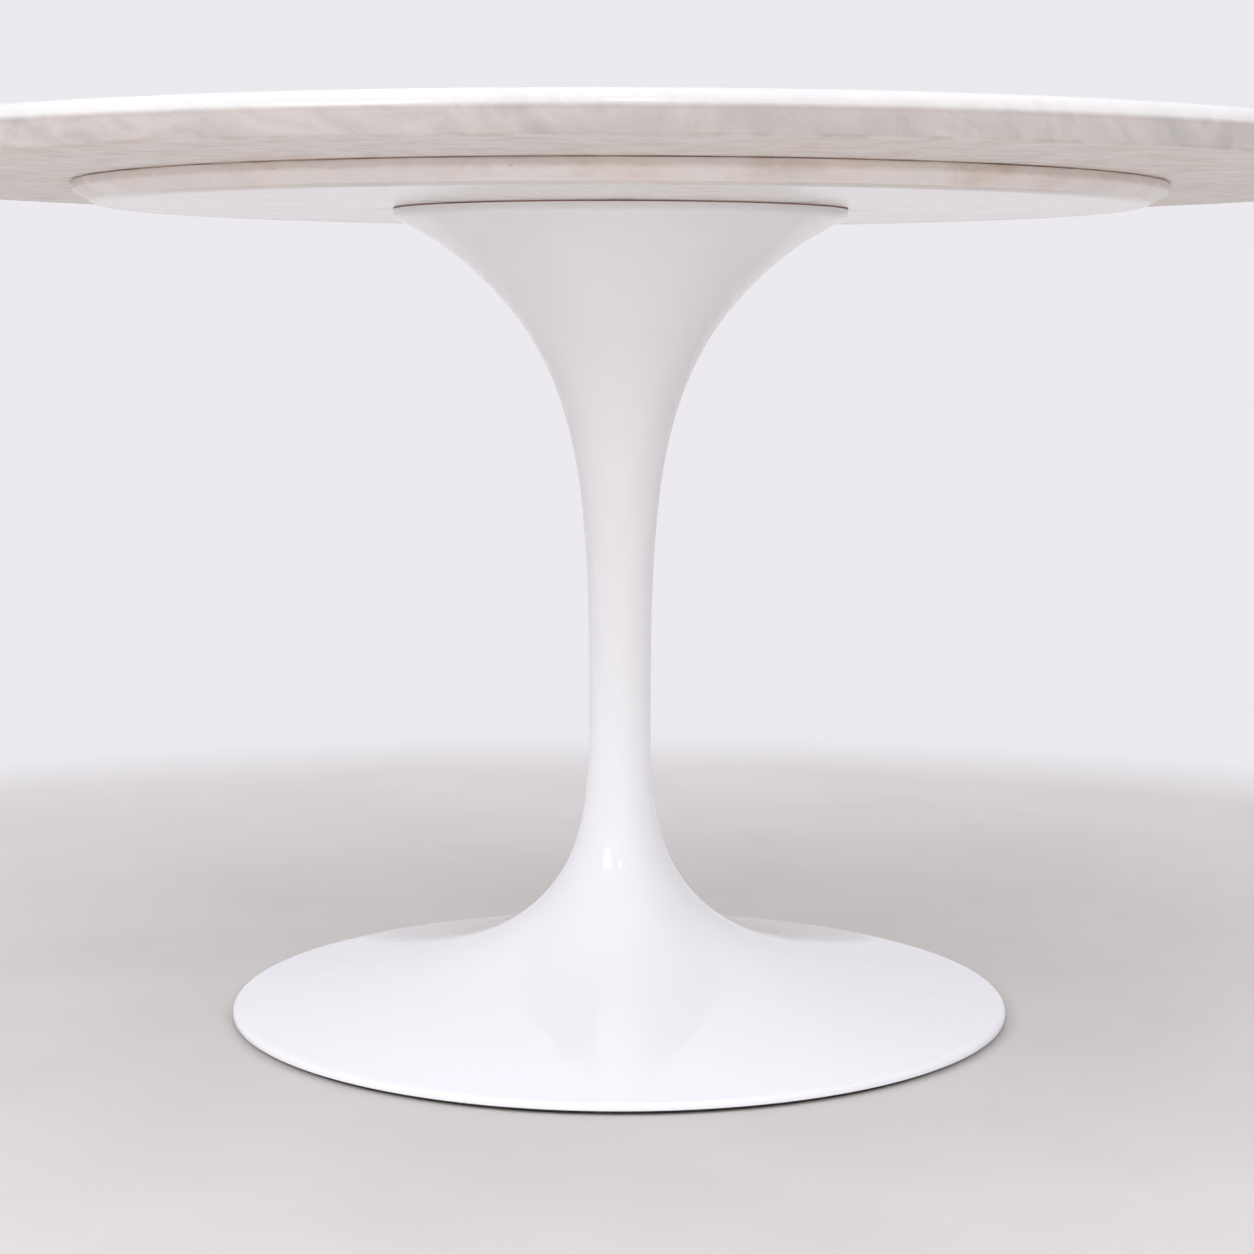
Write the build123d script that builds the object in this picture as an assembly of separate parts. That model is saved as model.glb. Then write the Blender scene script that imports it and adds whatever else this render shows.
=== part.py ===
from build123d import *
from math import cos, radians
import os

# A fixed round dining table: a marble top on a one-piece cast pedestal.
# All lengths are in millimetres. The table stands on z = 0, with its axis on z.

# The stack, from the floor up
table_height = 740
top_thickness = 30
adhesive_thickness = 1
backing_thickness = 18
gasket_thickness = 1

top_underside = table_height - top_thickness
backing_top = top_underside - adhesive_thickness
backing_underside = backing_top - backing_thickness
flange_top = backing_underside - gasket_thickness

# Marble top
top_radius = 660
top_edge_round = 11
top_arris = 1.5

# Marble backing disc
backing_radius = 457
backing_band = 7
backing_bevel_width = 19
backing_edge_round = 2.5
backing_flat_round = 21.5
adhesive_radius = backing_radius - 1

# Flange and foot of the pedestal
flange_radius = 192.7
flange_edge = 3.8
flange_round = 5
flange_slope = 26
foot_radius = 336
foot_underside = 4
foot_edge = 1
foot_round = 5
foot_slope = 8.7
waist_radius = 26.8
wall = 6

# Seat for the mounting plate, let into the flange
seat_radius = 183

# Web across the stem that the tie rod pulls on
web_underside = 150
web_thickness = 14
web_radius = 32
rod_clearance_radius = 8.5

# Ribs under the foot
rib_count = 4
rib_thickness = 5
rib_inner_radius = 44
rib_inner_height = 110

# Mounting plate, its screws and the inserts in the marble
plate_radius = 181.5
plate_thickness = 6
boss_radius = 24
boss_height = 14
screw_count = 8
screw_circle_radius = 145
screw_radius = 4
screw_head_radius = 8
screw_length = 17
insert_radius = 6
insert_length = 12
insert_hole_depth = 13

# Tie rod and its hardware
rod_radius = 8
rod_low_end = 118
washer_radius = 23
washer_thickness = 4
lock_washer_radius = 13.7
lock_washer_thickness = 3.5
nut_across_flats = 24
nut_height = 13

# Foot ring, pressed into a groove in the rim of the foot
groove_inner_radius = 323
groove_outer_radius = 329
groove_depth = 2.5
ring_inner_radius = 319
ring_outer_radius = 330
ring_fit_gap = 0.2


def disc(radius, bottom, height):
    """A plain disc on the table's axis, from its bottom face up."""
    return Pos(0, 0, bottom) * Cylinder(radius, height, align=(Align.CENTER, Align.CENTER, Align.MIN))


def washer(outer_radius, inner_radius, bottom, height):
    """A flat ring on the table's axis."""
    return disc(outer_radius, bottom, height) - disc(inner_radius, bottom, height)


def circle_edges(part, radius):
    """The circular edges of one radius, lowest first."""
    circles = part.edges().filter_by(GeomType.CIRCLE)
    return circles.filter_by(lambda edge: abs(edge.radius - radius) < 0.01).sort_by(Axis.Z)


def upright(outline):
    """A closed outline of radius and height, made a face in the XZ plane."""
    return Plane.XZ * make_face(outline)


# ---------------------------------------------------------------- marble top


def make_top_slab():
    """One slab, with its upper edge rounded over and its lower arris just eased."""
    slab = disc(top_radius, top_underside, top_thickness)
    slab = fillet(circle_edges(slab, top_radius)[-1], top_edge_round)
    return chamfer(circle_edges(slab, top_radius)[0], top_arris)


def make_slab_adhesive():
    """The cured bed of resin between the two slabs, held back a little from the edge."""
    return disc(adhesive_radius, backing_top, adhesive_thickness)


def make_backing_slab():
    """The disc that spreads the load: a straight band over a wide bevel, with blind insert holes.

    The bevel is eased into the band above it, and runs into the flat in a broad curve.
    """
    flat_radius = backing_radius - backing_bevel_width
    bevel_height = backing_thickness - backing_band
    bevel = Cone(
        flat_radius,
        backing_radius,
        bevel_height,
        align=(Align.CENTER, Align.CENTER, Align.MIN),
    )
    slab = Pos(0, 0, backing_underside) * bevel
    slab += disc(backing_radius, backing_underside + bevel_height, backing_band)
    slab = fillet(circle_edges(slab, backing_radius)[0], backing_edge_round)
    slab = fillet(circle_edges(slab, flat_radius)[0], backing_flat_round)
    for spot in PolarLocations(screw_circle_radius, screw_count):
        slab -= spot * disc(insert_radius, backing_underside, insert_hole_depth)
    return slab


# ------------------------------------------------ fixing between top and stem


def make_slab_inserts():
    """Threaded bushes bonded in the backing slab."""
    insert = washer(insert_radius, screw_radius, backing_underside, insert_length)
    return [spot * insert for spot in PolarLocations(screw_circle_radius, screw_count)]


def screw_body():
    """A countersunk screw, point up, with a hexagon socket in its head."""
    head_height = screw_head_radius - screw_radius
    plate_underside = backing_underside - plate_thickness
    head = Cone(
        screw_head_radius,
        screw_radius,
        head_height,
        align=(Align.CENTER, Align.CENTER, Align.MIN),
    )
    shank = disc(screw_radius, plate_underside, screw_length)
    shank = chamfer(circle_edges(shank, screw_radius)[-1], 1)
    return Pos(0, 0, plate_underside) * head + shank


def make_plate_screws():
    """Eight screws that hold the plate to the marble."""
    socket = extrude(RegularPolygon(2.5, 6, major_radius=False), 3.2)
    screw = screw_body() - Pos(0, 0, backing_underside - plate_thickness) * socket
    return [spot * screw for spot in PolarLocations(screw_circle_radius, screw_count)]


def make_mounting_plate():
    """A turned steel plate with a tapped boss, countersunk for its screws."""
    plate = disc(plate_radius, backing_underside - plate_thickness, plate_thickness)
    plate = chamfer(circle_edges(plate, plate_radius), 0.8)
    boss_bottom = backing_underside - plate_thickness - boss_height
    plate += disc(boss_radius, boss_bottom, boss_height)
    plate = chamfer(circle_edges(plate, boss_radius)[0], 1.5)
    plate -= disc(rod_radius, boss_bottom, boss_height + plate_thickness)
    for spot in PolarLocations(screw_circle_radius, screw_count):
        plate -= spot * screw_body()
    return plate


def make_flange_gasket():
    """A thin fibre ring that keeps the coated flange off the marble."""
    return washer(flange_radius - 1, seat_radius + 0.5, flange_top, gasket_thickness)


# ------------------------------------------------------------------- pedestal


def rim_arc():
    """The rounded rim of the foot, from its straight edge up to its top surface."""
    centre = (foot_radius - foot_round, foot_underside + foot_edge)
    return CenterArc(centre, foot_round, 0, 90 - foot_slope)


def flange_arc():
    """The rounded lower edge of the flange, from its straight edge down to the flare."""
    centre = (flange_radius - flange_round, flange_top - flange_edge)
    return CenterArc(centre, flange_round, 0, flange_slope - 90)


def trumpet():
    """The outer line of the pedestal, from the rim of the foot to the flange.

    It rises gently from the rim, sweeps up into a slender waist and opens again
    under the top, with no straight stretch anywhere.
    """
    stations = [
        rim_arc() @ 1,
        (262, 22),
        (205, 34),
        (157, 46.7),
        (111, 64.8),
        (72, 92.5),
        (45, 130),
        (31.5, 176.5),
        (waist_radius, 265),
        (30.5, 412),
        (48.6, 520),
        (85.2, 595.4),
        (139.8, 651.5),
        flange_arc() @ 1,
    ]
    return Spline(stations, tangents=[rim_arc() % 1, -(flange_arc() % 1)])


def skin_line(depth, start, end, count):
    """A line that runs a set depth inside the trumpet, between two shares of its length."""
    outer = trumpet()
    points = []
    for step in range(count):
        share = start + (end - start) * step / (count - 1)
        along = outer % share
        inward = Vector(-along.Y, along.X)
        points.append(outer @ share + inward * depth)
    return Spline(points)


def rib_blade():
    """One upright rib, deep at the stem and running out to nothing near the rim."""
    roof = skin_line(wall / 2, 0.03, 0.33, 10)
    sole = Bezier(roof @ 0, (150, foot_underside + 3), (60, 30), (rib_inner_radius, rib_inner_height))
    blade = upright([roof, sole, Line(sole @ 1, roof @ 1)])
    return extrude(blade, rib_thickness / 2, both=True)


def make_pedestal():
    """Flange, stem and foot in one thin casting, open below."""
    skin = skin_line(wall, 0.022, 0.97, 30)
    seat_height = backing_underside - plate_thickness
    flange_and_seat = Polyline(
        flange_arc() @ 0,
        (flange_radius, flange_top),
        (seat_radius, flange_top),
        (seat_radius, seat_height),
        ((skin @ 1).X, seat_height),
        skin @ 1,
    )
    rim_and_groove = Polyline(
        skin @ 0,
        ((skin @ 0).X, foot_underside),
        (groove_inner_radius, foot_underside),
        (groove_inner_radius, foot_underside + groove_depth),
        (groove_outer_radius, foot_underside + groove_depth),
        (groove_outer_radius, foot_underside),
        (foot_radius, foot_underside),
        rim_arc() @ 0,
    )
    shell = revolve(upright([rim_arc(), trumpet(), flange_arc(), flange_and_seat, skin, rim_and_groove]), Axis.Z)
    web = washer(web_radius, rod_clearance_radius, web_underside, web_thickness)
    ribs = [Rot(0, 0, 360 / rib_count * index) * rib_blade() for index in range(rib_count)]
    return shell + web + ribs


def make_foot_ring():
    """A black ring with a tongue that presses up into the groove in the rim."""
    ring = washer(ring_outer_radius, ring_inner_radius, 0, foot_underside)
    ring = chamfer(circle_edges(ring, ring_outer_radius)[0], 1)
    ring = chamfer(circle_edges(ring, ring_inner_radius)[0], 1)
    tongue_outer = groove_outer_radius - ring_fit_gap
    tongue_inner = groove_inner_radius + ring_fit_gap
    return ring + washer(tongue_outer, tongue_inner, foot_underside, groove_depth - ring_fit_gap)


# ------------------------------------------------------- tie rod and hardware


def make_tie_rod():
    """A rod down the hollow stem that draws the top on to the flange."""
    rod = disc(rod_radius, rod_low_end, flange_top - rod_low_end)
    return chamfer(circle_edges(rod, rod_radius), 1.5)


def make_hub_washer():
    """A wide washer that spreads the pull over the web."""
    ring = washer(washer_radius, rod_clearance_radius, web_underside - washer_thickness, washer_thickness)
    return chamfer(circle_edges(ring, washer_radius), 0.6)


def make_lock_washer():
    """A spring washer with its slanting split."""
    bottom = web_underside - washer_thickness - lock_washer_thickness
    ring = washer(lock_washer_radius, rod_clearance_radius, bottom, lock_washer_thickness)
    middle_radius = (lock_washer_radius + rod_clearance_radius) / 2
    split = Pos(middle_radius, 0, bottom + lock_washer_thickness / 2) * Rot(25, 0, 0) * Box(8, 1.5, 9)
    return ring - split


def make_hub_nut():
    """A hexagon nut, chamfered at its corners."""
    top = web_underside - washer_thickness - lock_washer_thickness
    blank = extrude(RegularPolygon(nut_across_flats / 2, 6, major_radius=False), nut_height)
    turned = disc(nut_across_flats / 2 / cos(radians(30)), 0, nut_height)
    turned = chamfer(turned.edges().filter_by(GeomType.CIRCLE), 0.9, 1.5)
    nut = (blank & turned) - disc(rod_radius, 0, nut_height)
    return Pos(0, 0, top - nut_height) * nut


def write(node, shape):
    """One file per node. A group of like pieces is written as separate solids."""
    if isinstance(shape, list):
        shape = Compound(children=shape)
    export_step(shape, f"parts/{node}.step")


os.makedirs("parts", exist_ok=True)
write("top_slab", make_top_slab())
write("slab_adhesive", make_slab_adhesive())
write("backing_slab", make_backing_slab())
write("slab_inserts", make_slab_inserts())
write("plate_screws", make_plate_screws())
write("mounting_plate", make_mounting_plate())
write("flange_gasket", make_flange_gasket())
write("pedestal", make_pedestal())
write("foot_ring", make_foot_ring())
write("tie_rod", make_tie_rod())
write("hub_washer", make_hub_washer())
write("lock_washer", make_lock_washer())
write("hub_nut", make_hub_nut())
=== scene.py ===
import math

import bmesh
import bpy
import numpy as np
from mathutils import Matrix, Vector


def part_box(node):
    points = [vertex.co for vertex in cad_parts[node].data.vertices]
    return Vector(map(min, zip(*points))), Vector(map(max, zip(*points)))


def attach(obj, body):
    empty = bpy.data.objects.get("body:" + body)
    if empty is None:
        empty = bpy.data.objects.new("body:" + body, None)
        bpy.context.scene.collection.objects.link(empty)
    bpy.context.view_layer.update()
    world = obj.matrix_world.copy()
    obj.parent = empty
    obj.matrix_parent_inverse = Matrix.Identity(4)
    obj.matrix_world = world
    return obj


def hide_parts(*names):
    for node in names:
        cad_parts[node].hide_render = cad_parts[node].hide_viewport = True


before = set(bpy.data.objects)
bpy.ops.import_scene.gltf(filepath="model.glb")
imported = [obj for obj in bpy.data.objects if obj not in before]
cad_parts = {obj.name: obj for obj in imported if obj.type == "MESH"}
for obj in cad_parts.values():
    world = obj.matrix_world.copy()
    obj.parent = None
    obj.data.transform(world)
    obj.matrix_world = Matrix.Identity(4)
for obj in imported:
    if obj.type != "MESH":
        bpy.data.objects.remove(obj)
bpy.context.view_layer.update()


# ------------------------------------------------------------------ marble top
# One round slab of pale marble, 30 mm thick, sawn and turned, with its upper edge
# rounded over and polished, and whitened there as a painted highlight. The underside is only
# honed, so it is duller and yellower, and it is lightened as painted light against the shade
# under the table.
# It rests on the backing disc and is bonded to it.

low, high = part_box("top_slab")
top_radius, top_underside, table_height = high.x, low.z, high.z
top_round = 0.011
arris = 0.0015
disc_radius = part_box("backing_slab")[1].x


def feed(tree, socket, value):
    """Links a socket to another one, or sets it to a plain value."""
    if isinstance(value, bpy.types.NodeSocket):
        tree.links.new(value, socket)
    elif socket.type == "RGBA" and len(value) == 3:
        socket.default_value = (*value, 1)
    else:
        socket.default_value = value


def add(tree, kind, *inputs, **settings):
    """Adds a node and returns its outputs.

    Plain inputs fill the first sockets in order. A setting that starts with a capital
    is a socket, with _ for a space, and any other is a property of the node.
    """
    node = tree.nodes.new(kind)
    for name, value in settings.items():
        if name[0].islower():
            setattr(node, name, value)
    for number, value in enumerate(inputs):
        feed(tree, node.inputs[number], value)
    for name, value in settings.items():
        if name[0].isupper():
            feed(tree, node.inputs[name.replace("_", " ")], value)
    return node.outputs


def calc(tree, operation, *values):
    """One step of arithmetic."""
    return add(tree, "ShaderNodeMath", *values, operation=operation)[0]


def times(tree, value, *others):
    """The product of several values."""
    for other in others:
        value = calc(tree, "MULTIPLY", value, other)
    return value


def plus(tree, value, *others):
    """The sum of several values."""
    for other in others:
        value = calc(tree, "ADD", value, other)
    return value


def between(tree, mask, start, end):
    """The start value where the mask is 0, and the end value where it is 1."""
    return plus(tree, times(tree, mask, end - start), start)


def rise(tree, value, low, high):
    """0 below low, 1 above high, and a smooth rise between them."""
    kind = "ShaderNodeMapRange"
    return add(tree, kind, value, low, high, 0.0, 1.0, interpolation_type="SMOOTHSTEP")[0]


def fall(tree, value, low, high):
    """1 below low, 0 above high, and a smooth fall between them."""
    return calc(tree, "SUBTRACT", 1.0, rise(tree, value, low, high))


def near(tree, value, middle, inner, outer):
    """1 within inner of the middle, and 0 further from it than outer."""
    distance = calc(tree, "ABSOLUTE", calc(tree, "SUBTRACT", value, middle))
    return fall(tree, distance, inner, outer)


def vector(tree, operation, *values, **scale):
    """One step of arithmetic with places or directions."""
    outputs = add(tree, "ShaderNodeVectorMath", *values, operation=operation, **scale)
    return outputs["Value" if operation in ("LENGTH", "DOT_PRODUCT") else "Vector"]


def from_axis(tree, position):
    """A place's level offset from the table's axis."""
    return vector(tree, "MULTIPLY", position, (1, 1, 0))


def height_of(tree, position):
    """A place's height above the floor."""
    return add(tree, "ShaderNodeSeparateXYZ", position)["Z"]


def tint(tree, amount, under, over, blend_type="MIX"):
    """Lays one colour over another."""
    node = tree.nodes.new("ShaderNodeMix")
    node.data_type = "RGBA"
    node.blend_type = blend_type
    feed(tree, node.inputs[0], amount)
    feed(tree, node.inputs[6], under)
    feed(tree, node.inputs[7], over)
    return node.outputs[2]


def layers(tree, ground, *coats):
    """Lays several colours over a ground, each by its own amount."""
    for amount, color in coats:
        ground = tint(tree, amount, ground, color)
    return ground


def grain(tree, position, scale, detail=4.0, roughness=0.55):
    """Plain fractal noise, about 0.5 on average, with scale in cycles a metre."""
    kind = "ShaderNodeTexNoise"
    return add(tree, kind, Vector=position, Scale=scale, Detail=detail, Roughness=roughness)[0]


def new_group(name, kind, takes, gives):
    """A node group with named sockets. Returns it with its inputs and its output node."""
    group = bpy.data.node_groups.new(name, kind)
    for in_out, sockets in (("INPUT", takes), ("OUTPUT", gives)):
        for socket, value_kind in sockets.items():
            socket_type = "NodeSocket" + value_kind
            group.interface.new_socket(socket, in_out=in_out, socket_type=socket_type)
    given = group.nodes.new("NodeGroupInput").outputs
    return group, given, group.nodes.new("NodeGroupOutput")


def use_group(tree, group, **values):
    """Places a group of shader nodes in a material and returns its outputs."""
    node = tree.nodes.new("ShaderNodeGroup")
    node.node_tree = group
    for name, value in values.items():
        feed(tree, node.inputs[name], value)
    return node.outputs


def new_material(name, **constants):
    """A material with one Principled shader.

    Returns it, its tree, the shader's inputs and the place on the piece, in metres.
    """
    material = bpy.data.materials.new(name)
    material.use_nodes = True
    tree = material.node_tree
    sockets = tree.nodes["Principled BSDF"].inputs
    for socket, value in constants.items():
        feed(tree, sockets[socket], value)
    return material, tree, sockets, add(tree, "ShaderNodeTexCoord")["Object"]


def bump(tree, height, depth):
    """Surface relief of a height that runs from 0 to 1, with its depth in metres."""
    return add(tree, "ShaderNodeBump", Height=height, Distance=depth)[0]


# Marble, for both slabs: soft grey clouds drawn out along the bedding, smoky veins,
# straw-coloured patches and fine dark grains.
pale_stone, cloud_grey, smoke_grey = (0.690, 0.664, 0.650), (0.560, 0.545, 0.545), (0.490, 0.478, 0.486)
haze_grey, straw_yellow, vein_grey = (0.500, 0.475, 0.475), (0.640, 0.520, 0.415), (0.380, 0.385, 0.400)
thread_brown, pit_brown = (0.400, 0.370, 0.360), (0.270, 0.230, 0.200)
bedding_turn, bedding_stretch = (0.16, 0.36, 0.3), (1.0, 0.8, 0.42)
marble, given, result = new_group(
    "marble",
    "ShaderNodeTree",
    {"Position": "Vector", "Straw": "Float", "Cloud": "Float"},
    {"Color": "Color", "Pit": "Float"},
)
position, cloudy = given["Position"], given["Cloud"]
drift = add(marble, "ShaderNodeTexNoise", Vector=position, Scale=3.4, Detail=3.0)["Color"]
drift = vector(marble, "SUBTRACT", drift, (0.5, 0.5, 0.5))
bent = vector(marble, "ADD", position, vector(marble, "SCALE", drift, Scale=0.22))
bedding = add(
    marble,
    "ShaderNodeMapping",
    Vector=bent,
    Rotation=bedding_turn,
    Scale=bedding_stretch,
    vector_type="TEXTURE",
)[0]
clouds = rise(marble, grain(marble, bedding, 17.0), 0.36, 0.66)
banks = between(marble, rise(marble, grain(marble, bent, 2.6, 3.0), 0.40, 0.62), 0.25, 1.0)
smoke = rise(marble, grain(marble, bedding, 48.0, 4.0, 0.6), 0.42, 0.70)
haze = rise(marble, grain(marble, bent, 60.0, 4.0, 0.6), 0.40, 0.70)
vein = near(marble, grain(marble, bedding, 2.4, 4.0, 0.5), 0.5, 0.0, 0.035)
vein = times(marble, vein, rise(marble, grain(marble, bent, 5.0, 3.0), 0.40, 0.60))
thread = near(marble, grain(marble, bent, 12.0, 5.0, 0.5), 0.52, 0.0, 0.014)
thread = times(marble, thread, rise(marble, grain(marble, bent, 7.0, 2.0), 0.52, 0.70))
straw = rise(marble, grain(marble, bedding, 4.0, 5.0), 0.40, 0.68)
cells = add(marble, "ShaderNodeTexVoronoi", Vector=position, Scale=190.0)["Distance"]
pits = fall(marble, cells, 0.05, 0.16)
pits = times(marble, pits, rise(marble, grain(marble, position, 9.0), 0.57, 0.72))
color = layers(
    marble,
    pale_stone,
    (times(marble, clouds, banks, cloudy), cloud_grey),
    (times(marble, smoke, cloudy, 0.50), smoke_grey),
    (times(marble, haze, cloudy, 0.30), haze_grey),
    (times(marble, straw, given["Straw"]), straw_yellow),
    (times(marble, vein, cloudy, 0.45), vein_grey),
    (times(marble, thread, 0.20), thread_brown),
    (times(marble, pits, 0.55), pit_brown),
)
feed(marble, result.inputs["Color"], color)
feed(marble, result.inputs["Pit"], pits)


def end_geometry(tree, result, body, material):
    """Ends a tree that makes a shape: real copies only, all in one material."""
    body = add(tree, "GeometryNodeRealizeInstances", body)[0]
    body = add(tree, "GeometryNodeSetMaterial", body, Material=material)[0]
    feed(tree, result.inputs[0], body)


# A turned solid: the outline is a line of points whose x is a radius and z a height,
# swept once around the axis.
lathe, given, result = new_group(
    "turned on a lathe",
    "GeometryNodeTree",
    {"Outline": "Geometry", "Steps around": "Int", "Material": "Material"},
    {"Body": "Geometry"},
)
rows = add(lathe, "GeometryNodeAttributeDomainSize", given["Outline"])[0]
columns = plus(lathe, given["Steps around"], 1.0)
grid = add(lathe, "GeometryNodeMeshGrid", Vertices_X=columns, Vertices_Y=rows)[0]
index = add(lathe, "GeometryNodeInputIndex")[0]
row = calc(lathe, "FLOORED_MODULO", index, rows)
column = calc(lathe, "FLOOR", calc(lathe, "DIVIDE", index, rows))
angle = times(lathe, calc(lathe, "DIVIDE", column, given["Steps around"]), math.tau)
spot = add(
    lathe,
    "GeometryNodeSampleIndex",
    Geometry=given["Outline"],
    Value=add(lathe, "GeometryNodeInputPosition")[0],
    Index=row,
    data_type="FLOAT_VECTOR",
)[0]
spot = add(lathe, "ShaderNodeSeparateXYZ", spot)
turned = add(
    lathe,
    "ShaderNodeCombineXYZ",
    times(lathe, spot["X"], calc(lathe, "COSINE", angle)),
    times(lathe, spot["X"], calc(lathe, "SINE", angle)),
    spot["Z"],
)[0]
body = add(lathe, "GeometryNodeSetPosition", grid, Position=turned)[0]
body = add(lathe, "GeometryNodeMergeByDistance", body, Distance=1e-6)[0]
body = add(lathe, "GeometryNodeSetShadeSmooth", body)[0]
end_geometry(lathe, result, body, given["Material"])


def grow(name, source_mesh, tree, **settings):
    """Runs a mesh through a geometry tree and keeps the result as a plain piece."""
    sharp_from = math.radians(28)
    source = bpy.data.objects.new(name, source_mesh)
    bpy.context.scene.collection.objects.link(source)
    modifier = source.modifiers.new(tree.name, "NODES")
    modifier.node_group = tree
    for item in tree.interface.items_tree:
        if item.in_out == "INPUT" and item.name.replace(" ", "_") in settings:
            modifier[item.identifier] = settings[item.name.replace(" ", "_")]
    depsgraph = bpy.context.evaluated_depsgraph_get()
    mesh = bpy.data.meshes.new_from_object(source.evaluated_get(depsgraph))
    bpy.data.objects.remove(source)
    mesh.set_sharp_from_angle(angle=sharp_from)
    piece = bpy.data.objects.new(name, mesh)
    bpy.context.scene.collection.objects.link(piece)
    return piece


def turn(name, outline, material, around, closed=False):
    """A turned piece. The outline runs from the bottom, round the outside, to the top."""
    points = [(radius, 0, height) for radius, height in outline]
    if closed:
        points.append(points[0])
    line = bpy.data.meshes.new(name)
    line.from_pydata(points, [(i, i + 1) for i in range(len(points) - 1)], [])
    return grow(name, line, lathe, Steps_around=around, Material=material)


def arc(centre_radius, centre_height, size, start, end, steps):
    """Points on a round corner, between two angles in degrees."""
    points = []
    for step in range(steps + 1):
        angle = math.radians(start + (end - start) * step / steps)
        points.append((centre_radius + size * math.cos(angle), centre_height + size * math.sin(angle)))
    return points


def fit(piece, slot, *nodes):
    """The piece stands for these CAD nodes and moves with the table."""
    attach(piece, "root")
    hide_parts(*nodes)


# Tones for the top's zones: the rounded edge is whitened as a painted highlight, and the honed underside is
# lightened as painted light against the shade under the table.
edge_tone, honed_painted_light_tone = (0.765, 0.732, 0.720), (1.110, 1.085, 1.030)
polished_highlight_tone, face_tone = (0.990, 1.002, 1.015), (0.900, 0.905, 0.905)
arris_dirt, shoulder_brown, beside_disc_brown = (0.36, 0.27, 0.22), (0.40, 0.33, 0.30), (0.30, 0.23, 0.18)

top_marble, tree, shader, position = new_material("polished marble", IOR=1.49)
height = height_of(tree, position)
radius = vector(tree, "LENGTH", from_axis(tree, position))
shoulder = table_height - top_round
polished = rise(tree, height, shoulder - 0.0016, shoulder + 0.0022)
honed = fall(tree, height, top_underside + 0.0002, top_underside + 0.0014)
face = rise(tree, height, table_height - 0.00030, table_height - 0.00005)
straw = between(tree, honed, 0.07, 0.45)
cloud = between(tree, honed, 0.95, 0.25)
# Fewer clouds on the rounded edge whiten it further, as part of its painted highlight.
cloud = plus(tree, cloud, times(tree, polished, -0.65), times(tree, face, 0.70))
stone = use_group(tree, marble, Position=position, Straw=straw, Cloud=cloud)
# The zone tones carry a painted highlight on the rounded edge and painted light on the underside.
tone = layers(tree, edge_tone, (honed, honed_painted_light_tone), (polished, polished_highlight_tone), (face, face_tone))
color = tint(tree, 1.0, stone["Color"], tone, "MULTIPLY")
streaks = rise(tree, grain(tree, position, 34.0, 5.0, 0.6), 0.40, 0.66)
arris_line = near(tree, height, top_underside + 0.0010, 0.0004, 0.0020)
# A thin brownish line just below the rounded edge.
shoulder_line = near(tree, height, shoulder - 0.0018, 0.0002, 0.0018)
# Darker brown streaks on the underside, close beside the disc.
beside_disc = near(tree, radius, disc_radius, 0.0, 0.005)
color = layers(
    tree,
    color,
    (times(tree, arris_line, streaks, 0.42), arris_dirt),
    (times(tree, shoulder_line, 0.22), shoulder_brown),
    (times(tree, beside_disc, honed, streaks, 0.40), beside_disc_brown),
)
feed(tree, shader["Base Color"], color)
dullness = plus(tree, between(tree, polished, 0.36, 0.10), times(tree, grain(tree, position, 60.0), 0.08))
feed(tree, shader["Roughness"], plus(tree, dullness, times(tree, stone["Pit"], 0.3)))
relief = calc(tree, "SUBTRACT", times(tree, grain(tree, position, 45.0), 0.25), stone["Pit"])
feed(tree, shader["Normal"], bump(tree, relief, 0.00012))

marble_top = turn(
    "marble_top",
    [
        (0, top_underside),
        (top_radius * 0.5, top_underside),
        *arc(top_radius - arris, top_underside + arris, arris, -90, 0, 5),
        *arc(top_radius - top_round, table_height - top_round, top_round, 0, 90, 16),
        (top_radius * 0.5, table_height),
        (0, table_height),
    ],
    top_marble,
    around=360,
)
fit(marble_top, "marble", "top_slab")


# ----------------------------------------------------------------- stone adhesive
# A thin bed of brown polyester resin that bonds the top to the backing disc. It was
# pressed out unevenly and struck off, so its edge lies a little inside the joint.

low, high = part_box("slab_adhesive")
resin_radius, resin_bottom, resin_top = disc_radius - 0.0002, low.z, high.z
resin_gap_depth, resin_core = 0.0009, resin_radius * 0.9
resin_dark, resin_pale, bubble_brown = (0.270, 0.180, 0.130), (0.560, 0.460, 0.385), (0.14, 0.09, 0.06)


def draw_in(tree, result, body, depth, material, inner_limit=0.0):
    """Ends a tree by moving a piece's surface towards the axis, by a depth in metres.

    What lies nearer to the axis than the inner limit stays in place.
    """
    across = from_axis(tree, add(tree, "GeometryNodeInputPosition")[0])
    outside = calc(tree, "GREATER_THAN", vector(tree, "LENGTH", across), inner_limit)
    inward = vector(tree, "NORMALIZE", across)
    inward = vector(tree, "SCALE", inward, Scale=times(tree, depth, outside, -1.0))
    body = add(tree, "GeometryNodeSetPosition", body, Offset=inward)[0]
    end_geometry(tree, result, body, material)


def rework(piece, tree, **settings):
    """Puts a finished piece through one more geometry tree."""
    name = piece.name
    better = grow(name, piece.data, tree, **settings)
    bpy.data.objects.remove(piece)
    better.name = name
    return better


# An edge that was squeezed out unevenly: drawn in by noise, more in some places.
squeezed, given, result = new_group(
    "squeezed out",
    "GeometryNodeTree",
    {"Bed": "Geometry", "Depth": "Float", "Inner limit": "Float", "Material": "Material"},
    {"Uneven bed": "Geometry"},
)
place = add(squeezed, "GeometryNodeInputPosition")[0]
gaps = rise(squeezed, grain(squeezed, place, 16.0, 5.0, 0.6), 0.35, 0.70)
depth = times(squeezed, gaps, given["Depth"])
draw_in(squeezed, result, given["Bed"], depth, given["Material"], given["Inner limit"])

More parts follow.
